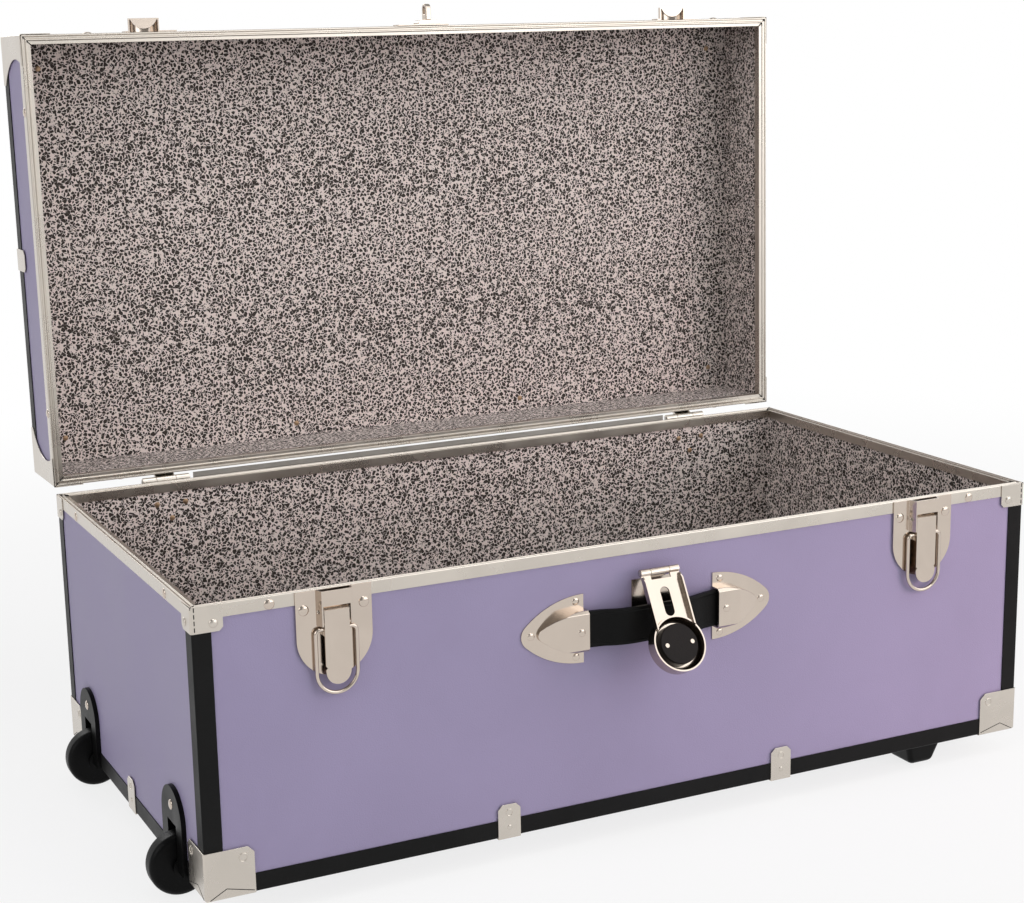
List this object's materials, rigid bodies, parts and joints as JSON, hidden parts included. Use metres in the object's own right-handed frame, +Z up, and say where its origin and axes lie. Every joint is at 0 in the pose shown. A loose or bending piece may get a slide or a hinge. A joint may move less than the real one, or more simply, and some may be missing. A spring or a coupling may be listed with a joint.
{
  "type": "rolling trunk",
  "caption": "Low rectangular storage trunk with hinged lid, metal-bound edges and corners, draw latches, lock hasp, carrying strap, and wheels at one end.",
  "frame": {"origin": "on the floor under the middle of the box", "axes": "+X to the right seen from the front, -Y to the front, +Z up"},
  "size_m": [0.7882, 0.5435, 0.6735],
  "materials": {
    "skin": "satin coated board",
    "paper": "matte printed paper",
    "black_trim": "satin",
    "nickel": "satin nickel",
    "bright": "polished",
    "steel": "plain",
    "strap": "smooth",
    "moulding": "fine grain",
    "tyre": "matte",
    "disc": "gloss",
    "strip": "matte grey"
  },
  "bodies": {
    "base": {"base_bottom_panel": "skin", "base_front_panel": "skin", "base_back_panel": "skin", "base_left_panel": "skin", "base_right_panel": "skin", "base_lining": "paper", "base_rim": "nickel", "base_bottom_edging": "black_trim", "base_corner_posts": "black_trim", "base_corner_caps": "nickel", "base_rim_corners": "nickel", "base_edge_clamps": "nickel", "base_rivets": "bright", "latch_plate_left": "bright", "latch_plate_right": "bright", "latch_pin_left": "steel", "latch_pin_right": "steel", "hasp_leaf": "bright", "hasp_pin": "steel", "handle_loop_left": "bright", "handle_loop_right": "bright", "handle_rivets": "bright", "wheel_housing_front": "moulding", "wheel_housing_rear": "moulding", "wheel_axle_front": "steel", "wheel_axle_rear": "steel", "glide_front": "moulding", "glide_rear": "moulding", "hinge_base_leaves": "nickel", "hinge_pins": "steel", "hinge_strip": "strip"},
    "lid": {"lid_top_panel": "skin", "lid_front_panel": "skin", "lid_back_panel": "skin", "lid_left_panel": "skin", "lid_right_panel": "skin", "lid_lining": "paper", "lid_rim": "nickel", "lid_edging": "black_trim", "lid_corners": "nickel", "lid_edge_clamps": "nickel", "lid_rivets": "bright", "lid_catch_left": "bright", "lid_catch_right": "bright", "lid_staple_plate": "bright", "lid_staple": "bright", "hinge_lid_leaves": "nickel"},
    "left_lever": {"latch_lever_left": "bright"},
    "right_lever": {"latch_lever_right": "bright"},
    "left_bail": {"latch_bail_left": "bright"},
    "right_bail": {"latch_bail_right": "bright"},
    "hasp": {"hasp_plate": "bright", "hasp_disc": "disc", "hasp_disc_rivets": "bright"},
    "strap": {"handle_strap": "strap"},
    "front_wheel": {"wheel_front": "tyre"},
    "rear_wheel": {"wheel_rear": "tyre"}
  },
  "joints": [
    {"name": "lid_hinge", "type": "hinge", "parent": "base", "child": "lid", "pos_m": [0, 0.2042, 0.2505], "axis": [1, 0, 0], "range_deg": [0, 91.2]},
    {"name": "left_latch_lever", "type": "hinge", "parent": "base", "child": "left_lever", "pos_m": [-0.271, -0.203, 0.2335], "axis": [1, 0, 0], "range_deg": [-95, 0]},
    {"name": "left_latch_bail", "type": "hinge", "parent": "left_lever", "child": "left_bail", "pos_m": [-0.271, -0.2027, 0.2195], "axis": [-1, 0, 0], "range_deg": [0, 180]},
    {"name": "right_latch_lever", "type": "hinge", "parent": "base", "child": "right_lever", "pos_m": [0.271, -0.203, 0.2335], "axis": [1, 0, 0], "range_deg": [-95, 0]},
    {"name": "right_latch_bail", "type": "hinge", "parent": "right_lever", "child": "right_bail", "pos_m": [0.271, -0.2027, 0.2195], "axis": [-1, 0, 0], "range_deg": [0, 180]},
    {"name": "hasp_hinge", "type": "hinge", "parent": "base", "child": "hasp", "pos_m": [0.004, -0.208, 0.2255], "axis": [-1, 0, 0], "range_deg": [0, 150]},
    {"name": "handle_lift", "type": "slide", "parent": "base", "child": "strap", "axis": [0, -1, 0], "range_m": [0, 0.0018]},
    {"name": "front_wheel_spin", "type": "hinge", "parent": "base", "child": "front_wheel", "pos_m": [-0.38, -0.127, 0.0254], "axis": [0, 1, 0], "continuous": true},
    {"name": "rear_wheel_spin", "type": "hinge", "parent": "base", "child": "rear_wheel", "pos_m": [-0.38, 0.127, 0.0254], "axis": [0, 1, 0], "continuous": true}
  ]
}
